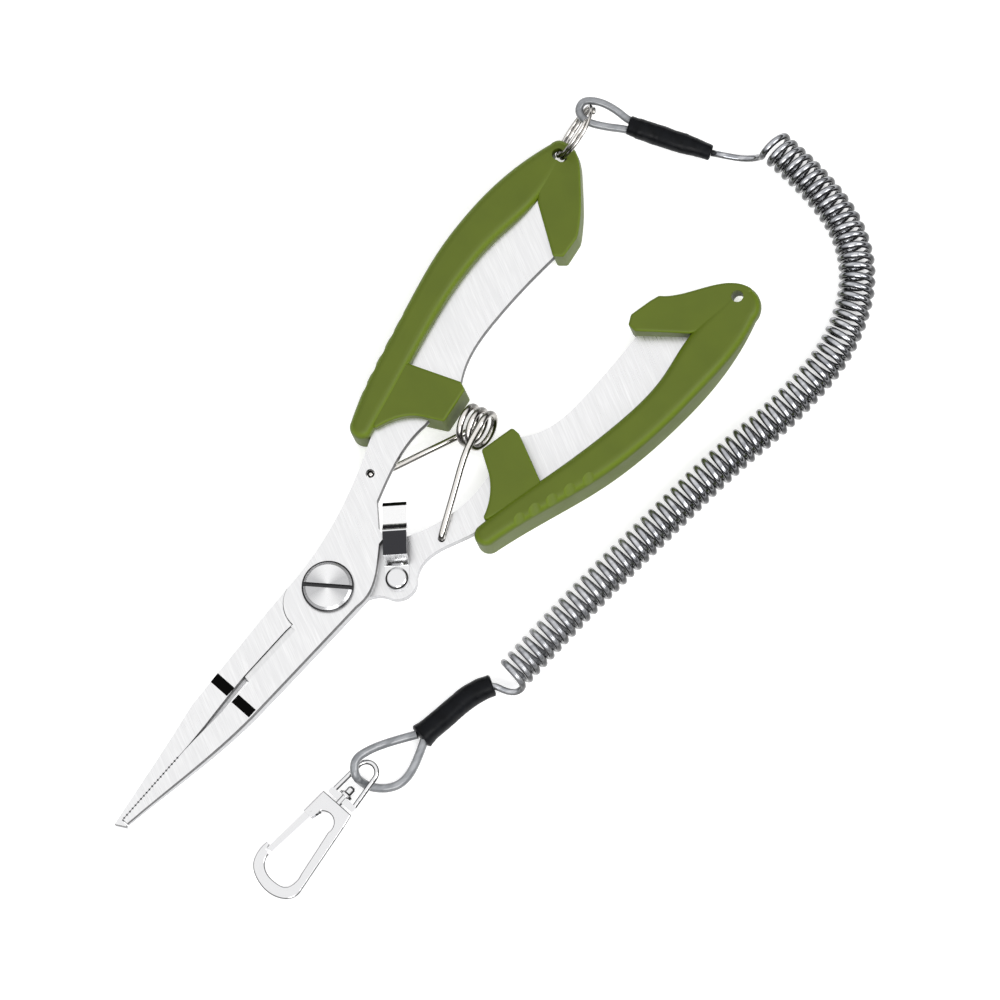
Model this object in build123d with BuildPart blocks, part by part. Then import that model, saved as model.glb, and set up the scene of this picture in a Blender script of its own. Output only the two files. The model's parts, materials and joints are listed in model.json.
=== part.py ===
import os
from math import cos, pi, radians, sin, tan

from build123d import *

# Fishing pliers with moulded grips, a swing latch and a coiled lanyard, in millimetres.
# X runs across the pliers, Y from the nose to the grips and Z up from the surface they lie on.
# Outlines are given from the pivot. PIVOT_X and PIVOT_Y put the origin under the pliers' middle.

PIVOT_X, PIVOT_Y = 1.5, -20.7

# Levels, from the surface up.
GRIP_T = 11.0  # thickness of the grips
MID_Z = GRIP_T / 2  # level of the lap joint between the two plates
PLATE_T = 2.5  # thickness of one plate
LAP_GAP = 0.04  # running gap between the two plates
JAW_BOTTOM, JAW_TOP = MID_Z - PLATE_T, MID_Z + PLATE_T
BACK_TOP = MID_Z - LAP_GAP / 2
FRONT_BOTTOM = MID_Z + LAP_GAP / 2

# Pivot.
SCREW_R, SCREW_HEAD_R, SCREW_HEAD_T, SCREW_CHAMFER = 3.0, 5.8, 1.1, 0.95
SCREW_SLOT_W, SCREW_SLOT_DEPTH, SCREW_SLOT_TURN = 0.95, 0.6, 37.0
NUT_R, NUT_T = 5.0, 1.7
RUN_GAP = 0.05  # radial clearance of a bore on its pin

# Jaws.
TOOTH_COUNT, TOOTH_PITCH, TOOTH_TOP_Y = 20, 0.93, -50.3
TOOTH_SIZE = 0.42  # side of each square notch, cut on its corner
BLADE_BEVEL_TOP, BLADE_BEVEL_L, BLADE_BEVEL_W, BLADE_BEVEL_DROP = -12.0, 15.2, 1.3, 0.5
JAW_GAP = 0.12  # space between the closed jaws
NOSE_TAPER_Y, NOSE_END_Y, NOSE_UNDER_RISE, NOSE_TOP_DROP = -24.0, -71.0, 2.0, 0.7

# Latch: a bent strip that swings about a rivet in the back plate's ear.
RIVET_X, RIVET_Y, RIVET_R, RIVET_HEAD_R, RIVET_HEAD_T = 9.9, 11.6, 1.2, 2.6, 1.2
LATCH_TURN = 135.0  # direction of the strip, in degrees from +X
LATCH_W, LATCH_T = 5.3, 1.0
LATCH_Z, LATCH_RAISED_Z, LATCH_TAB_Z = MID_Z + 0.1, JAW_TOP + 0.35, JAW_TOP - 1.3

# Torsion spring between the two plates.
WIRE_R, COIL_R, SPRING_TURNS, SPRING_PITCH = 0.75, 4.2, 3, 2.5
SPRING_CENTRE = (-0.9, 48.3, MID_Z)
SPRING_AXIS = (0.93, 0.26, 0.25)
SPRING_HOLE_FRONT, SPRING_HOLE_BACK = (-10.7, 25.0), (10.7, 24.9)
SPRING_TIP = 1.8  # how far the back leg turns down into its hole

# Grips.
SPINE_ROUND = 2.0
SCALLOP_R, SCALLOP_DEPTH, SCALLOP_COUNT = 3.0, 0.25, 5
GROOVE_R, GROOVE_DEPTH, GROOVE_TILT = 2.6, 0.4, 30.0  # soft grooves over the right grip's shoulder
GROOVE_OUT = (4.8, -3.3)  # the way they run, towards the outline
GROOVES = ((28.3, 55.5), (26.9, 50.9), (25.5, 46.6), (24.1, 42.5), (23.0, 38.7))

# Split ring through the left grip's hole.
HOLE_R, LEFT_HOLE, RIGHT_HOLE = 1.35, (-29.3, 105.7), (22.9, 108.2)
RING_R, RING_WIRE_R = 6.6, 0.42
RING_WAY_R = 1.15  # radius of the way through the grip that the ring turns in
RING_OUT, RING_UP = (-0.10, 0.965, 0.24), (0.42, -0.16, 0.89)

# Lanyard.
LOOP_NEAR_R, LOOP_FAR_R, CORD_R, COIL_OUTER_R = 0.9, 1.0, 0.75, 4.2
COIL_Z = COIL_OUTER_R + 0.02

# Snap hook, on a plane of its own that dips towards the hook's end.
HOOK_AT = (34.1, -33.9, 2.75)
HOOK_DIP = 2.6
HOOK_T, GATE_T, HOOK_ROUND = 2.5, 1.5, 0.4
GATE_HINGE, GATE_NOSE = (-3.45, -5.2), (-4.7, -17.6)
GATE_PIN_R = 0.35
BOW_WIRE_R, POST_R = 0.6, 0.75


def at_pivot(height):
    """Gives the level plane at a height, with its origin on the pivot's axis."""
    return Plane(origin=(PIVOT_X, PIVOT_Y, height))


def from_pivot(point):
    """Gives a point of the pivot's frame in the part's own frame."""
    return Vector(point) + Vector(PIVOT_X, PIVOT_Y, 0)


def route(name, points):
    """Draws a cord's route, with the largest arc that each pair of runs allows."""
    places = [from_pivot(p) for p in points]
    radii = []
    for before, here, after in zip(places, places[1:], places[2:]):
        arrive, leave = here - before, after - here
        turn = radians(arrive.get_angle(leave))
        radii.append(0.45 * min(arrive.length, leave.length) / tan(turn / 2))
    print(name, "arc radii", [round(r, 1) for r in radii])
    return FilletPolyline(*places, radius=radii)


def front_cutting_edge():
    """Draws the front jaw's inner edge, from the shoulder to the tip."""
    Polyline((0, -11.45), (-0.15, -13.4), (0, -27), (1.6, -27.3))
    Spline((1.6, -27.3), (1.85, -32.5), (1.6, -42), (1.5, -49.8))
    Polyline((1.5, -49.8), (1.95, -68.4), (3.2, -68.4))


def front_outer_edge():
    """Draws the front jaw's outer edge, from the tip to beside the pivot."""
    Spline((3.2, -68.4), (5.2, -54), (6.9, -40.5), (7.4, -32))


def back_jaw_edges():
    """Draws the back jaw from its shoulder round the toe and back along the outside."""
    Line((-JAW_GAP, -11.6), (-0.15 - JAW_GAP, -13.4))
    Line((-0.15 - JAW_GAP, -13.4), (-JAW_GAP, -27))
    Spline((-JAW_GAP, -27), (0.35, -33.5), (1.05, -42), (1.5 - JAW_GAP, -49.8))
    Polyline((1.5 - JAW_GAP, -49.8), (1.95 - JAW_GAP, -68.7), (3.35, -68.7), (3.5, -69.1), (1.15, -70.4))
    Spline((1.15, -70.4), (-0.4, -61), (-2.3, -50), (-4.3, -39.5))
    Spline((-4.3, -39.5), (-5.0, -30), (-6.0, -16), (-6.6, -6.35))


def cut_nose():
    """Thins the nose of the active part towards its tip, from below and from above."""
    with BuildSketch(Plane.YZ.offset(PIVOT_X)) as wedges:
        with BuildLine():
            start, end = NOSE_TAPER_Y + PIVOT_Y, NOSE_END_Y + PIVOT_Y
            low_tip = JAW_BOTTOM + NOSE_UNDER_RISE
            Polyline((start, JAW_BOTTOM), (end, low_tip), (end, JAW_BOTTOM - 1), (start, JAW_BOTTOM))
        make_face()
        with BuildLine():
            slope, high_tip = start - 10, JAW_TOP - NOSE_TOP_DROP
            Polyline((slope, JAW_TOP), (end, high_tip), (end, JAW_TOP + 1), (slope, JAW_TOP))
        make_face()
    extrude(wedges.sketch, amount=20, both=True, mode=Mode.SUBTRACT)


def cut_teeth():
    """Notches the gripping faces of the active part, each notch a square on its corner."""
    with BuildSketch(at_pivot(JAW_BOTTOM)) as notches:
        for index in range(TOOTH_COUNT):
            along = TOOTH_TOP_Y - index * TOOTH_PITCH
            across = 1.5 - JAW_GAP / 2 + (-49.8 - along) * 0.45 / 18.6
            with Locations((across, along)):
                Rectangle(TOOTH_SIZE, TOOTH_SIZE, rotation=45)
    extrude(notches.sketch, amount=2 * PLATE_T, mode=Mode.SUBTRACT)


# --- plates -----------------------------------------------------------------------------------

with BuildPart() as front_plate:
    with BuildSketch(at_pivot(FRONT_BOTTOM)):
        with BuildLine():
            ThreePointArc((-6.6, -6.2), (-4.2, -9.9), (0, -11.35))
            Line((0, -11.35), (0, -11.45))
            front_cutting_edge()
            front_outer_edge()
            Line((7.4, -32), (7.6, 1))
            Spline((7.6, 1), (7.2, 6.2), (4.4, 11.1), (1.75, 14.6))
            Polyline((1.75, 14.6), (1.6, 16.6), (-0.7, 17.1), (-5.3, 21.4))
            Spline((-5.3, 21.4), (-7.3, 27), (-8.9, 33), (-9.3, 41))
            Line((-9.3, 41), (-9.6, 53))
            Spline((-9.6, 53), (-12.5, 59), (-14, 69), (-14.2, 82), (-13.9, 89))
            Polyline((-13.9, 89), (-15.2, 92), (-26.5, 99.5))
            Spline((-26.5, 99.5), (-30.6, 90), (-29.8, 74), (-25.9, 56), (-20.4, 39), (-16.2, 31))
            Spline((-16.2, 31), (-12, 20.8), (-8.4, 8.5), (-6.6, -6.2))
        make_face()
    extrude(amount=JAW_TOP - FRONT_BOTTOM)
    with BuildSketch(at_pivot(JAW_BOTTOM)):
        with BuildLine():
            front_cutting_edge()
            front_outer_edge()
            Line((7.4, -32), (7.56, -5.35))
            ThreePointArc((7.56, -5.35), (4.98, -9.55), (0, -11.45))
        make_face()
    extrude(amount=JAW_TOP - JAW_BOTTOM)
    with BuildSketch(Plane.XZ.offset(-PIVOT_Y - BLADE_BEVEL_TOP)):
        with BuildLine():
            left, right = PIVOT_X - 1, PIVOT_X + BLADE_BEVEL_W
            Polyline((left, JAW_TOP + 0.1), (right, JAW_TOP + 0.1), (right, JAW_TOP))
            Polyline((right, JAW_TOP), (left, JAW_TOP - BLADE_BEVEL_DROP), (left, JAW_TOP + 0.1))
        make_face()
    extrude(amount=BLADE_BEVEL_L, mode=Mode.SUBTRACT)
    cut_nose()
    cut_teeth()
    with Locations(at_pivot(JAW_TOP)):
        Hole(SCREW_R + RUN_GAP)
        with Locations(SPRING_HOLE_FRONT):
            Hole(WIRE_R + 0.25)

front_plate.part.label = "front_plate"

with BuildPart() as back_plate:
    with BuildSketch(at_pivot(JAW_BOTTOM)):
        with BuildLine():
            Line((0, -11.35), (-JAW_GAP, -11.6))
            back_jaw_edges()
            Spline((-6.6, -6.35), (-6.9, -1), (-5.6, 5), (-1.5, 10.2), (1.5, 15.2))
            Spline((1.5, 15.2), (4.7, 20.4), (7.6, 27.2), (9.0, 33.5), (8.8, 41))
            Line((8.8, 41), (8.1, 53.5))
            Spline((8.1, 53.5), (11.3, 59.2), (12.4, 71), (12.1, 80), (11.6, 87.5))
            Polyline((11.6, 87.5), (12.6, 91), (24.5, 98))
            Spline((24.5, 98), (27.6, 92), (27.7, 82), (26.6, 70), (23.9, 56), (19.4, 40), (15.4, 31.5))
            Spline((15.4, 31.5), (12.6, 24.5), (11.3, 18.5), (12.6, 14.9))
            ThreePointArc((12.6, 14.9), (14.1, 11.2), (11.6, 7.6))
            Spline((11.6, 7.6), (8.9, 6.1), (7.6, 4.2))
            Line((7.6, 4.2), (7.55, -5.2))
            ThreePointArc((7.55, -5.2), (4.9, -9.4), (0, -11.35))
        make_face()
    extrude(amount=BACK_TOP - JAW_BOTTOM)
    with BuildSketch(at_pivot(JAW_BOTTOM)):
        with BuildLine():
            back_jaw_edges()
            ThreePointArc((-6.6, -6.35), (-4.24, -10.05), (-JAW_GAP, -11.6))
        make_face()
    extrude(amount=JAW_TOP - JAW_BOTTOM)
    cut_nose()
    cut_teeth()
    with Locations(at_pivot(JAW_TOP)):
        Hole(SCREW_R)
        with Locations(SPRING_HOLE_BACK):
            Hole(WIRE_R + 0.1)
        with Locations((RIVET_X, RIVET_Y)):
            Hole(RIVET_R)
back_plate.part.label = "back_plate"

# --- pivot screw, its nut, and the latch's rivet ----------------------------------------------

with BuildPart() as pivot_screw:
    with BuildSketch(at_pivot(JAW_BOTTOM - NUT_T)):
        Circle(SCREW_R)
    extrude(amount=2 * PLATE_T + NUT_T + RUN_GAP)
    with BuildSketch(at_pivot(JAW_TOP + RUN_GAP)):
        Circle(SCREW_HEAD_R)
    extrude(amount=SCREW_HEAD_T)
    rim = pivot_screw.edges().filter_by(GeomType.CIRCLE).group_by(Axis.Z)[-1]
    chamfer(rim, length=SCREW_CHAMFER, length2=0.55, reference=pivot_screw.faces().sort_by(Axis.Z)[-1])
    with BuildSketch(at_pivot(JAW_TOP + RUN_GAP + SCREW_HEAD_T)):
        Rectangle(2 * SCREW_HEAD_R + 1, SCREW_SLOT_W, rotation=SCREW_SLOT_TURN)
    extrude(amount=-SCREW_SLOT_DEPTH, mode=Mode.SUBTRACT)
pivot_screw.part.label = "pivot_screw"

with BuildPart() as pivot_nut:
    with BuildSketch(at_pivot(JAW_BOTTOM - NUT_T)):
        Circle(NUT_R)
        Circle(SCREW_R, mode=Mode.SUBTRACT)
    extrude(amount=NUT_T)
    chamfer(pivot_nut.edges().filter_by(GeomType.CIRCLE).group_by(Axis.Z)[0], length=0.4)
    with BuildSketch(at_pivot(JAW_BOTTOM - NUT_T)):
        with PolarLocations(SCREW_R + 1.0, 2):
            Rectangle(1.4, 1.0)
    extrude(amount=0.7, mode=Mode.SUBTRACT)
pivot_nut.part.label = "pivot_nut"

with BuildPart() as latch_rivet:
    with BuildSketch(Plane(origin=from_pivot((RIVET_X, RIVET_Y, JAW_BOTTOM - 0.8)))):
        Circle(2.3)
    extrude(amount=0.8)
    chamfer(latch_rivet.edges().group_by(Axis.Z)[0], length=0.4)
    with BuildSketch(Plane(origin=from_pivot((RIVET_X, RIVET_Y, JAW_BOTTOM)))):
        Circle(RIVET_R)
    extrude(amount=LATCH_Z + LATCH_T + RUN_GAP - JAW_BOTTOM)
    with BuildSketch(Plane(origin=from_pivot((RIVET_X, RIVET_Y, LATCH_Z + LATCH_T + RUN_GAP)))):
        Circle(RIVET_HEAD_R)
    extrude(amount=RIVET_HEAD_T)
    fillet(latch_rivet.edges().group_by(Axis.Z)[-1], radius=RIVET_HEAD_T - 0.15)
latch_rivet.part.label = "latch_rivet"

# --- latch: its profile runs along the strip and up, and is drawn on the strip's own plane ------

LATCH_ALONG = Vector(cos(radians(LATCH_TURN)), sin(radians(LATCH_TURN)), 0)
latch_side = Plane(
    origin=from_pivot((RIVET_X, RIVET_Y, 0)), x_dir=LATCH_ALONG, z_dir=LATCH_ALONG.cross(Vector(0, 0, 1))
)
with BuildPart() as lock_latch:
    with BuildSketch(latch_side):
        with BuildLine():
            low, high, tab, t = LATCH_Z, LATCH_RAISED_Z, LATCH_TAB_Z, LATCH_T
            FilletPolyline(
                (-3.5, low + t), (3.0, low + t), (4.8, high + t), (10.6, high + t), (12.3, tab + t),
                (16.5, tab + t), (17.5, tab + 0.3), (17.0, tab - 0.3), (16.0, tab), (11.9, tab), (10.2, high),
                (5.2, high), (3.4, low), (-3.5, low), radius=0.25,
            )
            Line((-3.5, low), (-3.5, low + t))
        make_face()
    extrude(amount=LATCH_W / 2, both=True)
    below = from_pivot((RIVET_X, RIVET_Y, LATCH_Z - 1))
    with BuildSketch(Plane(origin=below, x_dir=LATCH_ALONG, z_dir=(0, 0, 1))):
        with Locations((-3, 0)):
            Rectangle(6, 2 * LATCH_W)
        Circle(LATCH_W / 2, mode=Mode.SUBTRACT)
    extrude(amount=6, mode=Mode.SUBTRACT)
    with Locations(Plane(origin=from_pivot((RIVET_X, RIVET_Y, LATCH_Z + LATCH_T)))):
        Hole(RIVET_R + RUN_GAP)
lock_latch.part.label = "lock_latch"

# --- torsion spring: open turns about a leaning axis, with a straight leg to each plate ---------

spring_origin = from_pivot(SPRING_CENTRE)
spring_plane = Plane(origin=spring_origin, x_dir=Vector(0, 0.25, -0.26), z_dir=SPRING_AXIS)
with BuildPart() as torsion_spring:
    with Locations(*[spring_plane.offset((i - 1) * SPRING_PITCH) for i in range(SPRING_TURNS)]):
        Torus(COIL_R, WIRE_R)
    front_leg = (from_pivot((-3.3, 43.9, 4.6)), from_pivot((*SPRING_HOLE_FRONT, 4.2)))
    back_leg = (from_pivot((0.4, 44.6, 6.4)), from_pivot((*SPRING_HOLE_BACK, BACK_TOP + WIRE_R + 0.1)))
    back_tip = (back_leg[1], back_leg[1] - Vector(0, 0, SPRING_TIP))
    for start, end in (front_leg, back_leg, back_tip):
        with BuildSketch(Plane(origin=start, z_dir=end - start)):
            Circle(WIRE_R)
        extrude(amount=(end - start).length)
    with Locations(back_leg[1]):
        Sphere(WIRE_R)
torsion_spring.part.label = "torsion_spring"

# --- grips: a rounded spine with a bolster towards the pivot and a prong at the end -------------


def side_profile(low_end, middle, high_end):
    """Trims the active grip piece to half heights at its lower end, its flat middle and its upper end."""
    stations = [(24, low_end), (42, middle), (84, middle), (104, high_end + 0.4), (114, high_end)]
    with BuildSketch(Plane.YZ.offset(PIVOT_X - 60)) as side:
        with BuildLine():
            ends = []
            for way in (1, -1):
                places = [(PIVOT_Y + y, MID_Z + way * half) for y, half in stations]
                low, flat_low, flat_high, near_high, high = places
                Spline(low, flat_low, tangents=((18, way * (middle - low_end)), (1, 0)))
                Line(flat_low, flat_high)
                Spline(flat_high, near_high, high, tangents=((1, 0), (10, -0.4 * way)))
                ends.append((low, high))
            Line(ends[0][0], ends[1][0])
            Line(ends[0][1], ends[1][1])
        make_face()
    extrude(side.sketch, amount=120, mode=Mode.INTERSECT)


def rim_edges(builder):
    """Gives the edges that run round the two faces of a flat piece, without its upright ones."""
    return builder.edges().filter_by(lambda e: abs(e.tangent_at(0.5).Z) < 0.7)


def cut_scallops(points):
    """Cuts the finger scallops into the active piece, each a shallow round bite at a point."""
    with BuildSketch(at_pivot(0)) as bites:
        with Locations(*points):
            Circle(SCALLOP_R)
    extrude(bites.sketch, amount=GRIP_T, mode=Mode.SUBTRACT)


def cut_grooves(places):
    """Cuts the soft grooves over the active piece's outer shoulder, one at each place on its outline."""
    tilt, out = radians(GROOVE_TILT), Vector(*GROOVE_OUT).normalized()
    normal = out * sin(tilt) + Vector(0, 0, cos(tilt))
    along = Vector(0, 0, sin(tilt)) - out * cos(tilt)
    drop, inset = SPINE_ROUND * (1 - cos(tilt)), SPINE_ROUND * (1 - sin(tilt))
    for place in places:
        shoulder = from_pivot((*place, GRIP_T - drop)) - out * inset
        with BuildSketch(Plane(origin=shoulder + normal * (GROOVE_R - GROOVE_DEPTH), z_dir=along)) as groove:
            Circle(GROOVE_R)
        extrude(groove.sketch, amount=6, both=True, mode=Mode.SUBTRACT)


def drill_cord_hole(place):
    """Drills the cord hole through the active grip."""
    with Locations(Plane(origin=from_pivot((*place, MID_Z)))):
        Hole(HOLE_R)


ring_out = Vector(RING_OUT).normalized()
ring_axis = ring_out.cross(Vector(RING_UP)).normalized()
ring_centre = from_pivot((*LEFT_HOLE, MID_Z)) + ring_out * RING_R

with BuildPart() as left_spine:
    with BuildSketch(at_pivot(0)):
        with BuildLine():
            Spline(
                (-21.7, 30.6), (-24.7, 38.2), (-29.9, 56.2), (-33.8, 72.1), (-34.9, 87), (-33.9, 101),
                (-32.6, 106.4),
            )
            ThreePointArc((-32.6, 106.4), (-30.5, 109.0), (-27.6, 107.4))
            Spline(
                (-27.6, 107.4), (-26.1, 100), (-25.3, 93), (-26.0, 82), (-25.1, 67.5), (-22.3, 54.5),
                (-16.4, 31.2),
            )
            ThreePointArc((-16.4, 31.2), (-18.9, 28.7), (-21.7, 30.6))
        make_face()
    extrude(amount=GRIP_T)
    side_profile(4.6, MID_Z, 2.3)
    fillet(rim_edges(left_spine), radius=SPINE_ROUND)
    first_bite = SCALLOP_DEPTH - SCALLOP_R - 24.45
    cut_scallops([(first_bite - 1.27 * i, 37.5 + 4.3 * i) for i in range(SCALLOP_COUNT)])

with BuildPart() as left_bolster:
    with BuildSketch(at_pivot(0)):
        with BuildLine():
            Polyline((-23.5, 47.7), (-9.4, 53.3), (-7.4, 52.6), (-5.9, 44.2), (-9.4, 42.3))
            Spline((-9.4, 42.3), (-14.3, 38), (-16.1, 34.2), (-16.9, 31.6))
            Line((-16.9, 31.6), (-23.5, 47.7))
        make_face()
    extrude(amount=GRIP_T)
    side_profile(3.9, MID_Z - 0.7, MID_Z - 0.7)
    fillet(left_bolster.edges(), radius=0.7)

with BuildPart() as left_prong:
    with BuildSketch(at_pivot(0)):
        with BuildLine():
            Spline((-29.8, 109.1), (-27.7, 109.0), (-21.3, 104.5), (-16.1, 99.1), (-13.3, 95.4))
            Polyline((-13.3, 95.4), (-12.7, 94.3), (-11.9, 89.2), (-13.7, 87.7))
            Polyline((-13.7, 87.7), (-25, 94.6), (-30.5, 100.5), (-29.8, 109.1))
        make_face()
    extrude(amount=GRIP_T)
    side_profile(MID_Z, MID_Z - 1.0, 2.2)
    fillet(left_prong.edges(), radius=0.7)

with BuildPart() as left_grip:
    add(left_spine.part)
    add(left_bolster.part)
    add(left_prong.part)
    add(front_plate.part, mode=Mode.SUBTRACT)
    drill_cord_hole(LEFT_HOLE)
    with Locations(Plane(origin=ring_centre, x_dir=ring_out, z_dir=ring_axis)):
        Torus(RING_R, RING_WAY_R, mode=Mode.SUBTRACT)
left_grip.part.label = "left_grip"

with BuildPart() as right_spine:
    with BuildSketch(at_pivot(0)):
        with BuildLine():
            Spline(
                (21.0, 31.2), (23.5, 40.4), (28.8, 57.4), (31.3, 72.4), (31.9, 87), (30.7, 101.4), (29.2, 107)
            )
            ThreePointArc((29.2, 107), (25.6, 111.6), (20.9, 110.2))
            Spline((20.9, 110.2), (20.9, 102), (21.3, 94), (23.4, 84), (23.2, 70), (20.9, 56), (15.9, 31.6))
            ThreePointArc((15.9, 31.6), (18.2, 29.1), (21.0, 31.2))
        make_face()
    extrude(amount=GRIP_T)
    side_profile(4.6, MID_Z, 2.3)
    fillet(rim_edges(right_spine), radius=SPINE_ROUND)
    cut_grooves(GROOVES)

with BuildPart() as right_bolster:
    with BuildSketch(at_pivot(0)):
        with BuildLine():
            Polyline((21.2, 47.6), (8.4, 53.2), (6.4, 53.2), (4.7, 45.0), (9.0, 42.5))
            Spline((9.0, 42.5), (13, 38.9), (15.0, 35.4), (15.9, 32.2))
            Line((15.9, 32.2), (21.2, 47.6))
        make_face()
    extrude(amount=GRIP_T)
    side_profile(3.9, MID_Z - 0.7, MID_Z - 0.7)
    fillet(right_bolster.edges(), radius=0.7)

with BuildPart() as right_prong:
    with BuildSketch(at_pivot(0)):
        with BuildLine():
            Spline((24.4, 111.7), (21.7, 111.0), (16.2, 105.3), (9.9, 96.8))
            Polyline((9.9, 96.8), (9.3, 94.6), (8.4, 89.4), (9.6, 87.3), (11.7, 87.2))
            Polyline((11.7, 87.2), (20.9, 94.8), (26, 101), (24.4, 111.7))
        make_face()
    extrude(amount=GRIP_T)
    side_profile(MID_Z, MID_Z - 1.0, 2.2)
    fillet(right_prong.edges(), radius=0.7)

with BuildPart() as right_grip:
    add(right_spine.part)
    add(right_bolster.part)
    add(right_prong.part)
    add(back_plate.part, mode=Mode.SUBTRACT)
    drill_cord_hole(RIGHT_HOLE)
right_grip.part.label = "right_grip"

# --- split ring: two flat turns side by side, through the left grip's hole ----------------------

with BuildPart() as split_ring:
    with BuildSketch(Plane(origin=ring_centre, x_dir=ring_out, z_dir=ring_axis.cross(ring_out))):
        with Locations((RING_R, 0)):
            SlotOverall(4 * RING_WIRE_R, 2 * RING_WIRE_R, rotation=90)
    revolve(axis=Axis(ring_centre, ring_axis))
split_ring.part.label = "split_ring"

# --- lanyard: a loop in a crimped, shrink-covered end on each side of the coiled cord -----------


def swept_cord(name, points, radius):
    """Makes a round cord along a route and prints its volume against its section times its length."""
    with BuildPart() as cord:
        with BuildLine():
            path = route(name, points)
        with BuildSketch(Plane(origin=path @ 0, z_dir=path % 0)):
            Circle(radius)
        sweep()
    print(name, "volume", round(cord.part.volume, 1), "of", round(pi * radius**2 * path.length, 1))
    print(name, "length", round(path.length, 1))
    cord.part.label = name
    return cord.part


def turned_sleeve(start, end, profile):
    """Makes a shrink sleeve about the line from start to end, from (distance, radius) stations."""
    start, end = from_pivot(start), from_pivot(end)
    along = (end - start).normalized()
    side = along.cross(Vector(0, 0, 1)).normalized()
    with BuildPart() as sleeve:
        with BuildSketch(Plane(origin=start, x_dir=along, z_dir=side)):
            with BuildLine():
                first, last = profile[0], profile[-1]
                Polyline(*profile)
                Polyline(last, (last[0], 0), (first[0], 0), first)
            make_face()
        revolve(axis=Axis(start, along))
    return sleeve.part


def crimp(start, end, radius, inset):
    """Makes the crimped ferrule inside a sleeve, from inset to inset of its ends."""
    start, end = from_pivot(start), from_pivot(end)
    along = (end - start).normalized()
    with BuildPart() as ferrule:
        with BuildSketch(Plane(origin=start + along * inset, z_dir=along)):
            SlotOverall(2.3 * radius, 1.7 * radius)
        extrude(amount=(end - start).length - 2 * inset)
    return ferrule.part


NEAR_SLEEVE = ((-22.6, 121.0, 6.3), (-5.4, 129.0, 2.5))
NEAR_PROFILE = [(0, 2.2), (2.0, 2.3), (2.4, 2.45), (13.0, 2.4), (17.5, 1.95), (19.34, 1.9)]
FAR_SLEEVE = ((39.05, 4.2, 2.8), (37.6, -10.8, 3.35))
FAR_PROFILE = [(0, 2.7), (12.0, 2.65), (15.07, 3.2)]

crimps = {
    "ferrule_near": crimp(*NEAR_SLEEVE, 1.5, 3.2),
    "ferrule_far": crimp(*FAR_SLEEVE, 1.7, 2.4),
}
for name, solid in crimps.items():
    solid.label = name

with BuildPart() as shrink_near:
    add(turned_sleeve(*NEAR_SLEEVE, NEAR_PROFILE))
    add(crimps["ferrule_near"], mode=Mode.SUBTRACT)
shrink_near.part.label = "shrink_near"

FAR_SLEEVE_TOP = (41.3, 8.4, 2.8)
with BuildPart() as shrink_far:
    add(turned_sleeve(*FAR_SLEEVE, FAR_PROFILE))
    neck = from_pivot(FAR_SLEEVE[0]) - from_pivot(FAR_SLEEVE_TOP)
    with BuildSketch(Plane(origin=from_pivot(FAR_SLEEVE_TOP), z_dir=neck)):
        Circle(2.7)
    extrude(amount=neck.length)
    with Locations(from_pivot(FAR_SLEEVE[0])):
        Sphere(2.7)
    add(crimps["ferrule_far"], mode=Mode.SUBTRACT)
shrink_far.part.label = "shrink_far"

LOOP_NEAR = [
    (-20.7, 122.94, 5.8), (-23.0, 121.86, 6.3), (-26.6, 121.7, 7.4), (-30.3, 120.6, 8.7), (-33.3, 118.3, 9.0),
    (-32.5, 115.6, 8.9), (-29.5, 115.1, 8.6), (-25.8, 117.2, 7.6), (-22.2, 120.14, 6.3), (-19.9, 121.22, 5.8),
]
LEAD_NEAR = [(-5.4, 129.0, 2.5), (-2.3, 130.9, 1.9), (0.6, 133.9, 1.7), (2.2, 137.2, 2.2), (3.4, 139.6, 3.4)]
COIL = [
    (4.2, 139.0, COIL_Z), (21, 139.3, COIL_Z), (38.2, 132.2, COIL_Z), (47.2, 116, COIL_Z), (47.9, 97, COIL_Z),
    (45.4, 78, COIL_Z), (44.5, 57, COIL_Z), (43.4, 35, COIL_Z), (43.5, 12.5, COIL_Z),
]
LEAD_FAR = [(45.8, 12.5, 3.6), (45.3, 10.4, 3.1), (43.6, 9.2, 2.9), (41.3, 8.4, 2.8)]
LOOP_FAR = [
    (36.6, -10.9, 3.35), (34.8, -13.4, 2.9), (32.6, -17.0, 3.0), (31.3, -20.6, 4.6), (30.6, -24.5, 5.6),
    (33.0, -27.1, 4.8), (34.7, -26.7, 1.7), (36.5, -26.2, 1.05), (39.6, -23.9, 1.05), (41.2, -20.6, 1.1),
    (40.7, -15.9, 2.1), (38.6, -10.7, 3.35),
]
cords = [
    swept_cord("cord_loop_near", LOOP_NEAR, LOOP_NEAR_R),
    swept_cord("cord_lead_near", LEAD_NEAR, CORD_R),
    swept_cord("coil_cord", COIL, COIL_OUTER_R),
    swept_cord("cord_lead_far", LEAD_FAR, CORD_R),
    swept_cord("cord_loop_far", LOOP_FAR, LOOP_FAR_R),
]

# --- swivel and snap hook, drawn on the hook's own plane ----------------------------------------

dip = radians(HOOK_DIP)
HOOK = Plane(origin=from_pivot(HOOK_AT), x_dir=(1, 0, 0), z_dir=(0, -sin(dip), cos(dip)))

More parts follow.
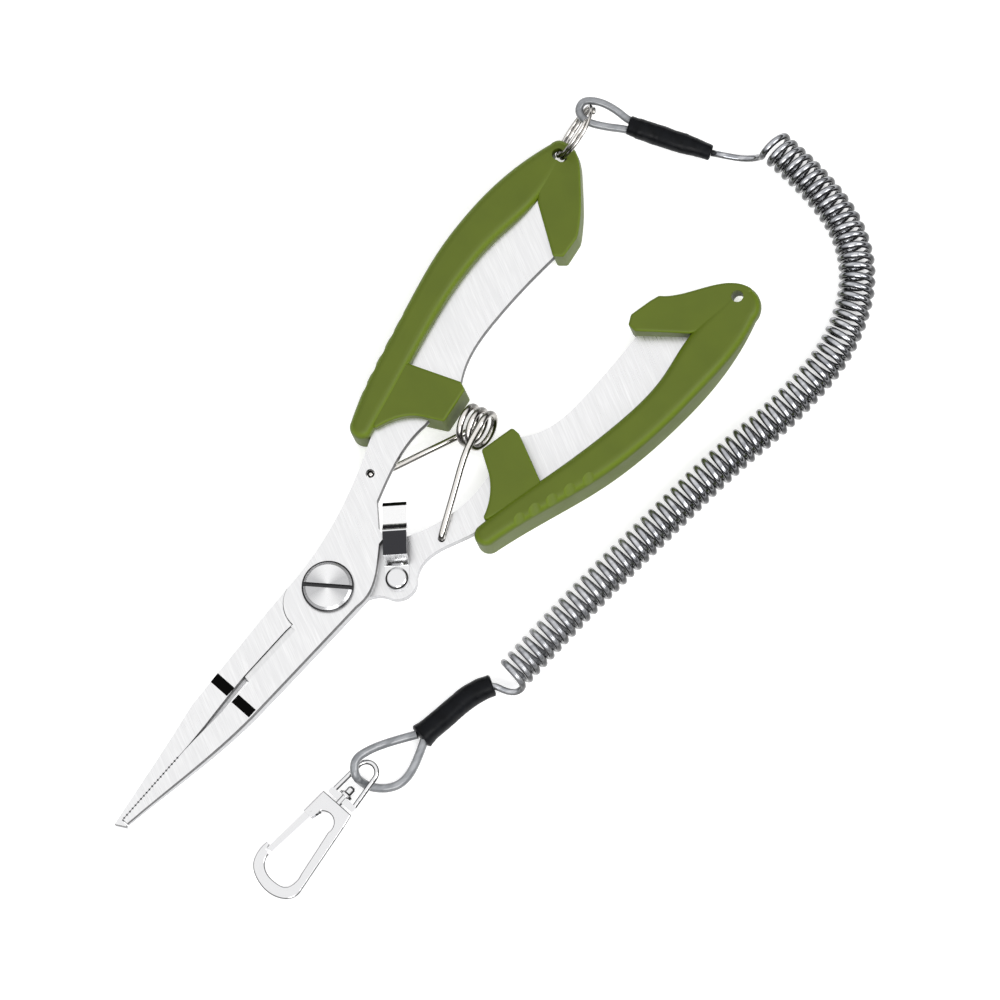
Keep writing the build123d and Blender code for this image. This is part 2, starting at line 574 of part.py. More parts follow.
with BuildPart() as swivel_bow:
    with BuildLine(HOOK) as bow_line:
        Line((-2.9, 1.6), (-2.5, 8.8))
        ThreePointArc((-2.5, 8.8), (0.1, 11.6), (2.2, 9.6))
        Line((2.2, 9.6), (3.2, 1.6))
    with BuildSketch(Plane(origin=bow_line.line @ 0, z_dir=bow_line.line % 0)):
        Circle(BOW_WIRE_R)
    sweep(path=bow_line.line)
    with BuildSketch(HOOK.offset(-BOW_WIRE_R)):
        with Locations((0.1, 1.3)):
            RectangleRounded(7.4, 1.5, 0.5)
    extrude(amount=2 * BOW_WIRE_R)
    with BuildSketch(Plane(origin=HOOK.origin, x_dir=(1, 0, 0), z_dir=-HOOK.y_dir)):
        Circle(POST_R + RUN_GAP)
    extrude(amount=6, both=True, mode=Mode.SUBTRACT)
swivel_bow.part.label = "swivel_bow"

with BuildPart() as swivel_post:
    with BuildSketch(HOOK):
        with BuildLine():
            Polyline((0, -1.5), (POST_R, -1.5), (POST_R, 2.15), (1.6, 2.25), (1.6, 2.8), (0.9, 3.2))
            Polyline((0.9, 3.2), (0.9, 4.4), (0.5, 4.9), (0, 4.9), (0, -1.5))
        make_face()
    revolve(axis=Axis(HOOK.origin, HOOK.y_dir))
swivel_post.part.label = "swivel_post"

with BuildPart() as snap_hook:
    with BuildSketch(HOOK.offset(-HOOK_T / 2)):
        with BuildLine():
            Polyline((-4.3, 0), (4.2, 0), (4.8, -3), (7.3, -19.5))
            Spline(
                (7.3, -19.5), (6.8, -22.5), (3.8, -24.5), (-1.5, -24.4), (-5.0, -22.2), (-6.1, -18.9),
                (-6.0, -16.7),
            )
            Polyline((-6.0, -16.7), (-5.2, -16.7), (-5.0, -18.2), (-3.7, -18.5))
            Spline(
                (-3.7, -18.5), (-3.2, -20.3), (-1.2, -21.8), (1.6, -22.1), (4.2, -21.3), (5.0, -19.4),
                (4.8, -17.2),
            )
            Line((4.8, -17.2), (2.9, -6.2))
            ThreePointArc((2.9, -6.2), (0.7, -2.9), (-1.9, -4.4))
            Polyline((-1.9, -4.4), (-2.3, -6.2), (-4.6, -6.2), (-4.3, 0))
        make_face()
    extrude(amount=HOOK_T)
    long_edges = rim_edges(snap_hook).filter_by(lambda e: e.length > 3)
    fillet(long_edges, radius=HOOK_ROUND)
    with BuildSketch(HOOK.offset(-GATE_T / 2 - RUN_GAP)):
        with Locations((-4.2, -5.9)):
            Rectangle(5.2, 4.6)
    extrude(amount=GATE_T + 2 * RUN_GAP, mode=Mode.SUBTRACT)
    with BuildSketch(Plane(origin=HOOK.origin, x_dir=(1, 0, 0), z_dir=-HOOK.y_dir)):
        Circle(POST_R)
    extrude(amount=1.5, mode=Mode.SUBTRACT)
    with Locations(HOOK):
        with Locations(GATE_HINGE):
            Hole(GATE_PIN_R)
snap_hook.part.label = "snap_hook"

with BuildPart() as hook_gate:
    with BuildSketch(HOOK.offset(-GATE_T / 2)):
        with BuildLine():
            nose_x, nose_y = GATE_NOSE
            hinge_x, hinge_y = GATE_HINGE
            left, right = (hinge_x - 0.85, hinge_y), (hinge_x + 0.85, hinge_y)
            Polyline(left, (nose_x - 0.4, nose_y), (nose_x + 1.0, nose_y), right)
            ThreePointArc(right, (hinge_x, hinge_y + 0.85), left)
        make_face()
    extrude(amount=GATE_T)
    with Locations(HOOK):
        with Locations(GATE_HINGE):
            Hole(GATE_PIN_R + RUN_GAP)
hook_gate.part.label = "hook_gate"

with BuildPart() as gate_pin:
    with BuildSketch(HOOK.offset(-HOOK_T / 2 - 0.1)):
        with Locations(GATE_HINGE):
            Circle(GATE_PIN_R)
    extrude(amount=HOOK_T + 0.2)
gate_pin.part.label = "gate_pin"

# --- files ------------------------------------------------------------------------------------

os.makedirs("parts", exist_ok=True)
made = [
    front_plate, back_plate, pivot_screw, pivot_nut, latch_rivet, lock_latch, torsion_spring, left_grip,
    right_grip, split_ring, shrink_near, shrink_far, swivel_bow, swivel_post, snap_hook, hook_gate, gate_pin,
]
for piece in [builder.part for builder in made] + cords + list(crimps.values()):
    export_step(piece, f"parts/{piece.label}.step")
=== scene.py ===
"""Looks of a pair of needle-nose fishing pliers with a coiled lanyard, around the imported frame."""

import json
import logging
import math
from dataclasses import dataclass, field
from enum import Enum

import bmesh
import bpy
from mathutils import Matrix, Vector, noise

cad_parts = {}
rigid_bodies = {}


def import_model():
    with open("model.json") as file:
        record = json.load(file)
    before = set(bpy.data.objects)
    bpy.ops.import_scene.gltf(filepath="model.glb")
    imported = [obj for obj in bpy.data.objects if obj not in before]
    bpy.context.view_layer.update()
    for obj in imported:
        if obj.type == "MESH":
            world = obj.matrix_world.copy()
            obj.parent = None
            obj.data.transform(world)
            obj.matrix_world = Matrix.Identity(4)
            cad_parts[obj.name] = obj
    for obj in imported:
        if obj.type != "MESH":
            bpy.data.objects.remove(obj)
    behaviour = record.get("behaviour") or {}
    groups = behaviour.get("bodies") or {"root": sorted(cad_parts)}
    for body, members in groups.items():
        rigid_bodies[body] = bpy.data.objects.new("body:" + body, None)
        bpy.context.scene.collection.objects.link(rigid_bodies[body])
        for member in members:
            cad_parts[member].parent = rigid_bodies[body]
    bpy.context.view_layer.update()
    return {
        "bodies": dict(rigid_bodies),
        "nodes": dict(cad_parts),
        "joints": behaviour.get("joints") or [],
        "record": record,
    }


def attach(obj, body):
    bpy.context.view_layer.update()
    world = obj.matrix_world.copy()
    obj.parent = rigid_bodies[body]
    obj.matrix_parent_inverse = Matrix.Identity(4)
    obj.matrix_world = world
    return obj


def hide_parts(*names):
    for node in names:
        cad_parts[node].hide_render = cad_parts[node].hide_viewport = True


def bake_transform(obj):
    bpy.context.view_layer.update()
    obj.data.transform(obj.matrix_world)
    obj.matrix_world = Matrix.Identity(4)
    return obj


log = logging.getLogger("pliers")

MM = 0.001
IN_MM = (1000.0, 1000.0, 1000.0)  # scales object coordinates from metres to millimetres
Colour = tuple[float, float, float] | bpy.types.NodeSocket
Stations = list[tuple[float, float]]
NOISE_RANGE = (0.3, 0.7)  # between which nearly all of a noise's values lie


class Slot(Enum):
    """The record's material slots that new pieces take their finish from."""

    GRIP = "grip_plastic"
    PLATE = "plate_steel"
    TURNED = "turned_steel"
    CHROME = "polished_chrome"
    WIRE = "spring_wire"
    CLEAR = "clear_cord"
    GREY = "grey_cord"
    SLEEVE = "shrink_sleeve"
    FERRULE = "ferrule_metal"


# --- places -----------------------------------------------------------------------------------


class Places:
    """Turns millimetres counted from the pivot, at the surface, into the frame's metres."""

    def __init__(self, frame: dict) -> None:
        """Reads the pivot's place from the frame.
        """
        joints = {joint["name"]: joint for joint in frame["record"]["behaviour"]["joints"]}
        x, y, _ = joints["main_pivot"]["pos_m"]
        self.pivot = Vector((x, y, 0.0))

    def at(self, x: float, y: float, z: float) -> Vector:
        """Gives the frame's place of a point in millimetres from the pivot.

        Args:
            x: distance across the pliers.
            y: distance towards the grips.
            z: height above the surface.

        Returns:
            The place in metres.
        """
        return self.pivot + Vector((x, y, z)) * MM

    def all(self, points: list[tuple[float, float, float]]) -> list[Vector]:
        """Gives the frame's places of several points in millimetres from the pivot."""
        return [self.at(*point) for point in points]


# --- curves and meshes ------------------------------------------------------------------------


def nurbs(name: str, places: list[Vector], depth: float = 0.0, fineness: int = 12) -> bpy.types.Object:
    """Makes a smooth open curve led by a few places.

    Args:
        name: the object's name.
        places: its control points, in metres.
        depth: the radius of its round section, or 0 for a bare line.
        fineness: steps between two control points.

    Returns:
        The curve's object.
    """
    data = bpy.data.curves.new(name, "CURVE")
    data.dimensions = "3D"
    spline = data.splines.new("NURBS")
    spline.points.add(len(places) - 1)
    for point, place in zip(spline.points, places):
        point.co = (*place, 1.0)
    spline.order_u = 3
    spline.use_endpoint_u = True
    data.resolution_u = fineness
    data.bevel_depth = depth
    data.bevel_resolution = 4
    data.use_fill_caps = depth > 0
    piece = bpy.data.objects.new(name, data)
    bpy.context.scene.collection.objects.link(piece)
    return piece


def line_through(places: list[Vector], fineness: int = 12) -> list[Vector]:
    """Gives the points along the smooth curve that is led by a few places.

    Args:
        places: its control points, in metres.
        fineness: steps between two control points.

    Returns:
        The points in order.
    """
    curve = nurbs("route", places, fineness=fineness)
    mesh = bpy.data.meshes.new_from_object(curve)
    points = [vertex.co.copy() for vertex in mesh.vertices]
    data = curve.data
    bpy.data.objects.remove(curve)
    bpy.data.curves.remove(data)
    bpy.data.meshes.remove(mesh)
    return points


def evenly(points: list[Vector], count: int) -> list[Vector]:
    """Gives points that are evenly spaced along a line.

    Args:
        points: the line's own points.
        count: how many to give, both ends among them.

    Returns:
        The spaced points.
    """
    reach = [0.0]
    for before, after in zip(points, points[1:]):
        reach.append(reach[-1] + (after - before).length)
    spaced, index = [], 0
    for step in range(count):
        goal = reach[-1] * step / (count - 1)
        while index < len(points) - 2 and reach[index + 1] < goal:
            index += 1
        span = reach[index + 1] - reach[index]
        spaced.append(points[index].lerp(points[index + 1], (goal - reach[index]) / span if span else 0.0))
    return spaced


def length_of(points: list[Vector]) -> float:
    """Gives the length of the line through some points."""
    return sum((after - before).length for before, after in zip(points, points[1:]))


def finished(name: str, form: bmesh.types.BMesh, smooth: bool = True) -> bpy.types.Object:
    """Closes a form's seams, turns its faces outwards and makes it an object.

    Args:
        name: the object's name.
        form: the form, which is freed.
        smooth: whether its faces are shaded smooth.

    Returns:
        The new object.
    """
    bmesh.ops.remove_doubles(form, verts=form.verts, dist=1e-7)
    bmesh.ops.recalc_face_normals(form, faces=form.faces)
    mesh = bpy.data.meshes.new(name)
    for face in form.faces:
        face.smooth = smooth
    form.to_mesh(mesh)
    form.free()
    piece = bpy.data.objects.new(name, mesh)
    bpy.context.scene.collection.objects.link(piece)
    return piece


def tube(name: str, points: list[Vector], radius: float, fineness: int = 1) -> bpy.types.Object:
    """Makes a round closed tube along points, as a mesh.

    Args:
        name: the object's name.
        points: control points of its centreline.
        radius: its radius.
        fineness: steps between two control points.

    Returns:
        The tube's object.
    """
    curve = nurbs(name + "_line", points, radius, fineness)
    mesh = bpy.data.meshes.new_from_object(curve)
    data = curve.data
    bpy.data.objects.remove(curve)
    bpy.data.curves.remove(data)
    form = bmesh.new()
    form.from_mesh(mesh)
    bpy.data.meshes.remove(mesh)
    return finished(name, form)


def dress(piece: bpy.types.Object, material: bpy.types.Material) -> None:
    """Gives a piece one material all over."""
    piece.data.materials.clear()
    piece.data.materials.append(material)


# --- finishes ---------------------------------------------------------------------------------


class Recipe:
    """A material's node tree around one principled shader."""

    def __init__(self, name: str, **sockets: object) -> None:
        """Makes the material.

        Args:
            name: its name.
            sockets: values for the shader's sockets, with underscores for spaces.
        """
        self.material = bpy.data.materials.new(name)
        self.material.use_nodes = True
        self.tree = self.material.node_tree
        self.shader = self.tree.nodes["Principled BSDF"]
        for socket, value in sockets.items():
            self.shader.inputs[socket.replace("_", " ")].default_value = value
        self.coords = self.tree.nodes.new("ShaderNodeTexCoord")

    def join(self, source: bpy.types.NodeSocket, target: bpy.types.NodeSocket) -> None:
        """Links two sockets."""
        self.tree.links.new(source, target)

    def mapped(
        self,
        scale: tuple[float, float, float] = (1, 1, 1),
        turn: float = 0.0,
        shift: tuple[float, float, float] = (0, 0, 0),
    ) -> bpy.types.NodeSocket:
        """Gives object coordinates, moved, then turned about Z and scaled.

        Args:
            scale: the scale along each turned axis.
            turn: degrees about Z.
            shift: what is added to the coordinates first.

        Returns:
            The vector socket.
        """
        move = self.tree.nodes.new("ShaderNodeMapping")
        move.inputs["Location"].default_value = shift
        self.join(self.coords.outputs["Object"], move.inputs["Vector"])
        spin = self.tree.nodes.new("ShaderNodeMapping")
        spin.inputs["Rotation"].default_value = (0, 0, math.radians(turn))
        self.join(move.outputs["Vector"], spin.inputs["Vector"])
        size = self.tree.nodes.new("ShaderNodeMapping")
        size.inputs["Scale"].default_value = scale
        self.join(spin.outputs["Vector"], size.inputs["Vector"])
        return size.outputs["Vector"]

    def grain(self, vector: bpy.types.NodeSocket, scale: float, detail: float = 3.0) -> bpy.types.NodeSocket:
        """Gives a noise over coordinates.

        Args:
            vector: the coordinates.
            scale: how fine the noise is.
            detail: its octaves.

        Returns:
            The noise's factor socket.
        """
        node = self.tree.nodes.new("ShaderNodeTexNoise")
        node.inputs["Scale"].default_value = scale
        node.inputs["Detail"].default_value = detail
        self.join(vector, node.inputs["Vector"])
        return node.outputs["Fac"]

    def span(
        self, value: bpy.types.NodeSocket, low: float, high: float, start: float, end: float
    ) -> bpy.types.NodeSocket:
        """Maps a value from one range to another, held at its ends.

        Args:
            value: the socket to map.
            low: the start of its range.
            high: the end of its range.
            start: what the start becomes.
            end: what the end becomes.

        Returns:
            The mapped socket.
        """
        node = self.tree.nodes.new("ShaderNodeMapRange")
        for name, number in (("From Min", low), ("From Max", high), ("To Min", start), ("To Max", end)):
            node.inputs[name].default_value = number
        self.join(value, node.inputs["Value"])
        return node.outputs["Result"]

    def swing(self, grain: bpy.types.NodeSocket, start: float, end: float) -> bpy.types.NodeSocket:
        """Maps a noise over its whole range, to go from one value to another."""
        return self.span(grain, *NOISE_RANGE, start, end)

    def blend(
        self, factor: bpy.types.NodeSocket, first: Colour, second: Colour
    ) -> bpy.types.NodeSocket:
        """Mixes two colours.

        Args:
            factor: 0 for the first and 1 for the second.
            first: a colour or a colour's socket.
            second: a colour or a colour's socket.

        Returns:
            The mixed colour socket.
        """
        node = self.tree.nodes.new("ShaderNodeMix")
        node.data_type = "RGBA"
        for socket, colour in zip([s for s in node.inputs if s.type == "RGBA"], (first, second)):
            if isinstance(colour, bpy.types.NodeSocket):
                self.join(colour, socket)
            else:
                socket.default_value = (*colour, 1)
        self.join(factor, node.inputs["Factor"])
        return next(s for s in node.outputs if s.type == "RGBA")

    def maths(
        self, operation: str, first: bpy.types.NodeSocket, second: bpy.types.NodeSocket | float = 0.0
    ) -> bpy.types.NodeSocket:
        """Combines a socket with a socket or number.

        Args:
            operation: the node's operation.
            first: the first operand.
            second: the second operand, which functions of one number don't use.

        Returns:
            The result's socket.
        """
        node = self.tree.nodes.new("ShaderNodeMath")
        node.operation = operation
        self.join(first, node.inputs[0])
        if isinstance(second, (int, float)):
            node.inputs[1].default_value = second
        else:
            self.join(second, node.inputs[1])
        return node.outputs[0]

    def axes(self, vector: bpy.types.NodeSocket) -> dict[str, bpy.types.NodeSocket]:
        """Gives the X, Y and Z sockets of a vector."""
        node = self.tree.nodes.new("ShaderNodeSeparateXYZ")
        self.join(vector, node.inputs[0])
        return {axis: node.outputs[axis] for axis in "XYZ"}

    def between(self, value: bpy.types.NodeSocket, low: float, high: float) -> bpy.types.NodeSocket:
        """Gives 1 where a value is between two numbers, and 0 elsewhere."""
        above, below = self.maths("GREATER_THAN", value, low), self.maths("LESS_THAN", value, high)
        return self.maths("MULTIPLY", above, below)

    def facing(self) -> bpy.types.NodeSocket:
        """Gives how far a surface faces up or down in its own frame, from 0 to 1."""
        return self.maths("ABSOLUTE", self.axes(self.coords.outputs["Normal"])["Z"])

    def paint(self, colour: bpy.types.NodeSocket) -> None:
        """Sets the shader's colour."""
        self.join(colour, self.shader.inputs["Base Color"])

    def roughen(self, value: bpy.types.NodeSocket) -> None:
        """Sets the shader's roughness."""
        self.join(value, self.shader.inputs["Roughness"])

    def relief(self, height: bpy.types.NodeSocket, strength: float, depth: float) -> None:
        """Gives the surface a bump.

        Args:
            height: the height's socket.
            strength: from 0 to 1.
            depth: the height of 1, in metres.
        """
        node = self.tree.nodes.new("ShaderNodeBump")
        node.inputs["Strength"].default_value = strength
        node.inputs["Distance"].default_value = depth
        self.join(height, node.inputs["Height"])
        self.join(node.outputs["Normal"], self.shader.inputs["Normal"])


@dataclass(frozen=True)
class BrushedPlate:
    """Satin steel brushed across the tool, with two darkened bands etched over the jaws, painted shade on the
    side walls and a painted shade line under each top edge.
    """

    pivot: tuple[float, float]
    tone: tuple[float, float, float] = (0.98, 0.98, 0.985)
    dull: tuple[float, float, float] = (0.86, 0.86, 0.87)
    # painted shade: the grey of the side walls
    edge: tuple[float, float, float] = (0.42, 0.42, 0.43)
    painted_dark_line: tuple[float, float, float] = (0.015, 0.015, 0.016)  # the painted shade line under each plate's top edge
    band_tone: tuple[float, float, float] = (0.004, 0.004, 0.004)
    brushing: float = 24.0  # direction of the strokes, in degrees
    bands: tuple[tuple[float, float, float, float], ...] = (
        (-5.0, 0.15, -32.9, -30.4), (1.85, 7.15, -33.2, -30.9),
    )
    band_floor: float = 7.3  # height that the bands start from, in millimetres
    # heights of the painted shade line, in millimetres
    painted_dark_line_heights: tuple[float, float] = (6.0, 8.1)

    def make(self) -> bpy.types.Material:
        """Builds the material."""
        recipe = Recipe("brushed_plate", Metallic=1.0, Roughness=0.3)
        strokes = recipe.grain(recipe.mapped((180, 5200, 3000), self.brushing), 1.0, 4.0)
        streaks = recipe.grain(recipe.mapped((70, 1500, 900), self.brushing), 1.0, 2.0)
        cloud = recipe.grain(recipe.mapped(), 90.0, 2.0)
        place = recipe.axes(recipe.mapped(IN_MM, 0.0, (-self.pivot[0], -self.pivot[1], 0)))
        inside = None
        for left, right, low, high in self.bands:
            across, along = recipe.between(place["X"], left, right), recipe.between(place["Y"], low, high)
            band = recipe.maths("MULTIPLY", across, along)
            inside = band if inside is None else recipe.maths("MAXIMUM", inside, band)
        inside = recipe.maths("MULTIPLY", inside, recipe.maths("GREATER_THAN", place["Z"], self.band_floor))
        bright = recipe.blend(recipe.span(streaks, 0.35, 0.65, 0, 1), self.dull, self.tone)
        steel = recipe.blend(recipe.swing(strokes, 0, 1), tuple(0.84 * t for t in self.tone), bright)
        # the side walls take painted shade, with a painted shade line under the top edge
        painted_wall_shade = recipe.blend(recipe.between(place["Z"], *self.painted_dark_line_heights), self.edge, self.painted_dark_line)
        steel_with_painted_walls = recipe.blend(recipe.span(recipe.facing(), 0.35, 0.75, 0, 1), painted_wall_shade, steel)
        recipe.paint(recipe.blend(inside, steel_with_painted_walls, self.band_tone))
        fine, broad = recipe.swing(strokes, 0.26, 0.4), recipe.swing(cloud, -0.03, 0.04)
        recipe.roughen(recipe.maths("ADD", fine, broad))
        recipe.relief(strokes, 0.35, 0.00003)
        return recipe.material


@dataclass(frozen=True)
class TurnedSteel:
    """Steel faced on a lathe, with fine rings about the pivot, a painted sheen in sectors, and painted shade
    on its chamfer, its sides and in its slot.
    """

    pivot: tuple[float, float]
    ring_pitch: float = 0.22  # millimetres
    tone: tuple[float, float, float] = (0.92, 0.92, 0.925)
    # the darker sectors of the painted sheen
    dull: tuple[float, float, float] = (0.56, 0.56, 0.57)
    # painted shade on the chamfer
    painted_rim_tone: tuple[float, float, float] = (0.52, 0.52, 0.53)
    # painted shade on the side walls and in the slot
    painted_wall_shade: tuple[float, float, float] = (0.05, 0.05, 0.052)
    painted_sheen_turn: float = 133.0  # direction of the painted sheen's bright sectors, in degrees
    painted_slot_shade_heights: tuple[float, float] = (8.3, 8.8)  # heights of the painted shade round the slot's bottom, in millimetres

    def make(self) -> bpy.types.Material:
        """Builds the material."""
        recipe = Recipe("turned_steel", Metallic=1.0, Roughness=0.25)
        place = recipe.mapped((1000, 1000, 0), 0.0, (-self.pivot[0], -self.pivot[1], 0))
        distance = recipe.tree.nodes.new("ShaderNodeVectorMath")
        distance.operation = "LENGTH"
        recipe.join(place, distance.inputs[0])
        turns = recipe.maths("MULTIPLY", distance.outputs["Value"], 2 * math.pi / self.ring_pitch)
        rings = recipe.maths("SINE", turns)
        wear = recipe.grain(recipe.mapped(), 400.0, 3.0)
        recipe.roughen(recipe.swing(wear, 0.18, 0.32))
        flat = recipe.axes(place)
        # painted sheen: bright and dark sectors by angle about the pivot
        angle = recipe.maths("MULTIPLY", recipe.maths("ARCTAN2", flat["Y"], flat["X"]), 2.0)
        sheen = recipe.maths("COSINE", recipe.maths("SUBTRACT", angle, math.radians(2 * self.painted_sheen_turn)))
        face = recipe.blend(recipe.span(sheen, -0.6, 1.0, 0, 1), self.dull, self.tone)
        # painted shade on the chamfer, at the slot's bottom and on the side walls
        facing, height = recipe.facing(), recipe.axes(recipe.mapped(IN_MM))["Z"]
        face_with_painted_chamfer = recipe.blend(recipe.span(facing, 0.9, 0.97, 0, 1), self.painted_rim_tone, face)
        with_painted_slot_shade = recipe.blend(recipe.between(height, *self.painted_slot_shade_heights), face_with_painted_chamfer, self.painted_wall_shade)
        recipe.paint(recipe.blend(recipe.span(facing, 0.1, 0.4, 0, 1), self.painted_wall_shade, with_painted_slot_shade))
        recipe.relief(rings, 0.35, 0.00002)
        return recipe.material


@dataclass(frozen=True)
class PolishedMetal:
    """Bright plating or drawn wire, with a trace of orange peel, and painted shade and reflection on its
    rounded edges.
    """

    name: str
    tone: tuple[float, float, float]
    roughness: float
    peel: float = 0.06
    depth: float = 0.06  # how dark the painted shade on the rounded edges is against the faces that look up

    def make(self) -> bpy.types.Material:
        """Builds the material."""
        recipe = Recipe(self.name, Metallic=1.0)
        facing = recipe.facing()
        # painted shade and reflection: slopes dark, while tops and sides stay bright
        side = recipe.span(facing, 0.05, 0.4, 0.75, 0)
        painted_edge_light = recipe.maths("ADD", recipe.span(facing, 0.6, 0.93, 0, 1), side)
        recipe.paint(recipe.blend(painted_edge_light, tuple(self.depth * t for t in self.tone), self.tone))
        wear = recipe.grain(recipe.mapped(), 900.0, 3.0)
        recipe.roughen(recipe.swing(wear, self.roughness * 0.7, self.roughness * 1.4))
        recipe.relief(recipe.grain(recipe.mapped(), 1500.0, 2.0), self.peel, 0.00005)
        return recipe.material


@dataclass(frozen=True)
class MouldedGrip:
    """Olive plastic with a fine spark-eroded texture, a painted highlight on its rounded shoulders and
    painted shade on its sides.
    """

    tone: tuple[float, float, float] = (0.098, 0.133, 0.0085)
    shade: tuple[float, float, float] = (0.087, 0.119, 0.007)
    # painted highlight on the rounded shoulders
    painted_rim_tone: tuple[float, float, float] = (0.118, 0.172, 0.006)
    # painted shade on the side faces
    side: tuple[float, float, float] = (0.078, 0.108, 0.006)
    roughness: float = 0.5

    def make(self) -> bpy.types.Material:
        """Builds the material."""
        recipe = Recipe("moulded_grip", Roughness=self.roughness, Specular_IOR_Level=0.3)
        cloud = recipe.grain(recipe.mapped(), 120.0, 3.0)
        body = recipe.blend(recipe.swing(cloud, 0, 1), self.shade, self.tone)
        facing = recipe.facing()
        # painted highlight on the slopes, and painted shade on the side faces
        body_with_painted_rim = recipe.blend(recipe.span(facing, 0.75, 0.95, 0, 1), self.painted_rim_tone, body)
        recipe.paint(recipe.blend(recipe.span(facing, 0.1, 0.6, 0, 1), self.side, body_with_painted_rim))
        spark = recipe.grain(recipe.mapped(), 5200.0, 2.0)
        recipe.roughen(recipe.swing(cloud, self.roughness - 0.04, self.roughness + 0.05))
        recipe.relief(spark, 0.25, 0.00004)
        return recipe.material


@dataclass(frozen=True)
class CordJacket:
    """A smooth glossy jacket with long faint streaks in it, painted shade on its sides, and a paler part
    towards one end.
    """

    name: str
    tone: tuple[float, float, float]
    core: tuple[float, float, float]
    clearness: float
    metal: float = 0.0
    depth: float = 1.0  # how dark the painted shade on the sides is against the faces that look up
    clear_below: float = -1.0  # place along Y, in metres, under which the jacket lets more light through
    fade: float = 0.02  # how far the change reaches to each side of that place, in metres
    metal_share: float = 0.35  # of the metalness, under that place
    clear_share: float = 2.2  # of the clearness, under that place

    def make(self) -> bpy.types.Material:
        """Builds the material."""
        recipe = Recipe(
            self.name, Roughness=0.1, Metallic=self.metal, IOR=1.47, Coat_Weight=0.6, Coat_Roughness=0.04
        )
        streaks = recipe.grain(recipe.mapped((1, 0.3, 1), 15.0), 700.0, 2.0)
        jacket = recipe.blend(recipe.span(streaks, 0.35, 0.65, 0, 1), self.core, self.tone)
        # painted shade on the sides
        painted_side_shade = recipe.span(recipe.facing(), 0.45, 0.95, 0, 1)
        recipe.paint(recipe.blend(painted_side_shade, tuple(self.depth * t for t in self.core), jacket))
        along = recipe.axes(recipe.mapped())["Y"]
        low, high = self.clear_below - self.fade, self.clear_below + self.fade
        metal = recipe.span(along, low, high, self.metal * self.metal_share, self.metal)
        recipe.join(metal, recipe.shader.inputs["Metallic"])
        clearest = min(1.0, self.clearness * self.clear_share)
        clear = recipe.span(along, low, high, clearest, self.clearness)
        recipe.join(clear, recipe.shader.inputs["Transmission Weight"])
        return recipe.material


@dataclass(frozen=True)
class StripWithPaintedReflections:
    """Bright plating with painted dark and pale reflections across it, as bands counted along a direction
    from a rivet.
    """

    rivet: tuple[float, float]
    along: float = 135.0  # direction of the strip, in degrees
    bright: tuple[float, float, float] = (0.86, 0.86, 0.87)
    # the tone of the painted dark reflections
    dark: tuple[float, float, float] = (0.045, 0.045, 0.05)
    # the tone of the painted pale reflection
    pale: tuple[float, float, float] = (0.95, 0.95, 0.95)
    # bands of painted reflection, in millimetres from the rivet
    painted_dark_reflection_bands: tuple[tuple[float, float], ...] = ((4.8, 10.3), (11.0, 12.0), (16.4, 18.0))
    painted_pale_reflection_bands: tuple[tuple[float, float], ...] = ((12.0, 16.4),)

    def make(self) -> bpy.types.Material:
        """Builds the material."""
        recipe = Recipe("strip_painted_reflections", Metallic=1.0)
        place = recipe.axes(recipe.mapped(IN_MM, -self.along, (-self.rivet[0], -self.rivet[1], 0)))
        colour: Colour = self.bright
        # paints the reflections as bands along the strip
        for bands, tone in ((self.painted_dark_reflection_bands, self.dark), (self.painted_pale_reflection_bands, self.pale)):
            for start, end in bands:
                colour = recipe.blend(recipe.between(place["X"], start, end), colour, tone)
        recipe.paint(colour)
        scuffs = recipe.grain(recipe.mapped((1, 4, 1), -self.along), 500.0, 3.0)
        recipe.roughen(recipe.swing(scuffs, 0.1, 0.28))
        return recipe.material


@dataclass(frozen=True)
class ShrinkRubber:
    """Black shrink tube with a faint sheen and fine creases."""

    tone: tuple[float, float, float] = (0.0015, 0.0018, 0.0026)

    def make(self) -> bpy.types.Material:
        """Builds the material."""
        recipe = Recipe("shrink_rubber", Roughness=0.4, Specular_IOR_Level=0.12)
        crease = recipe.grain(recipe.mapped(), 500.0, 4.0)
        pale = tuple(2.2 * t for t in self.tone)
        recipe.paint(recipe.blend(recipe.swing(crease, 0, 1), self.tone, pale))
        recipe.roughen(recipe.swing(crease, 0.32, 0.5))
        recipe.relief(crease, 0.5, 0.0002)
        return recipe.material


class Finishes:
    """Every finish of the pliers, made once."""

    def __init__(self, places: Places) -> None:
        """Makes the materials.

        Args:
            places: gives the pivot, which the plates' bands and the screw's rings are counted from.
        """
        pivot = (places.pivot.x, places.pivot.y)
        self.of: dict[Slot, bpy.types.Material] = {
            Slot.PLATE: BrushedPlate(pivot).make(),
            Slot.TURNED: TurnedSteel(pivot).make(),
            Slot.CHROME: PolishedMetal("polished_chrome", (0.84, 0.84, 0.85), 0.06).make(),
            Slot.WIRE: PolishedMetal("spring_wire", (0.84, 0.81, 0.77), 0.14, 0.06, 0.16).make(),
            Slot.FERRULE: PolishedMetal("ferrule_metal", (0.72, 0.72, 0.72), 0.3).make(),
            Slot.GRIP: MouldedGrip().make(),
            Slot.CLEAR: CordJacket(
                "clear_cord", (0.66, 0.67, 0.70), (0.34, 0.35, 0.38), 0.1, 0.9, 0.05, places.at(0, 48, 0).y
            ).make(),
            Slot.GREY: CordJacket(
                "grey_cord", (0.36, 0.37, 0.39), (0.22, 0.23, 0.245), 0.05, 0.0, 0.5
            ).make(),
            Slot.SLEEVE: ShrinkRubber().make(),
        }
        rivet = places.at(9.9, 11.6, 0)
        self.strip = StripWithPaintedReflections((rivet.x, rivet.y)).make()

    def put(self, piece: bpy.types.Object, slot: Slot) -> None:
        """Gives a new piece the finish of a slot."""
        dress(piece, self.of[slot])


# --- sub-assemblies ---------------------------------------------------------------------------


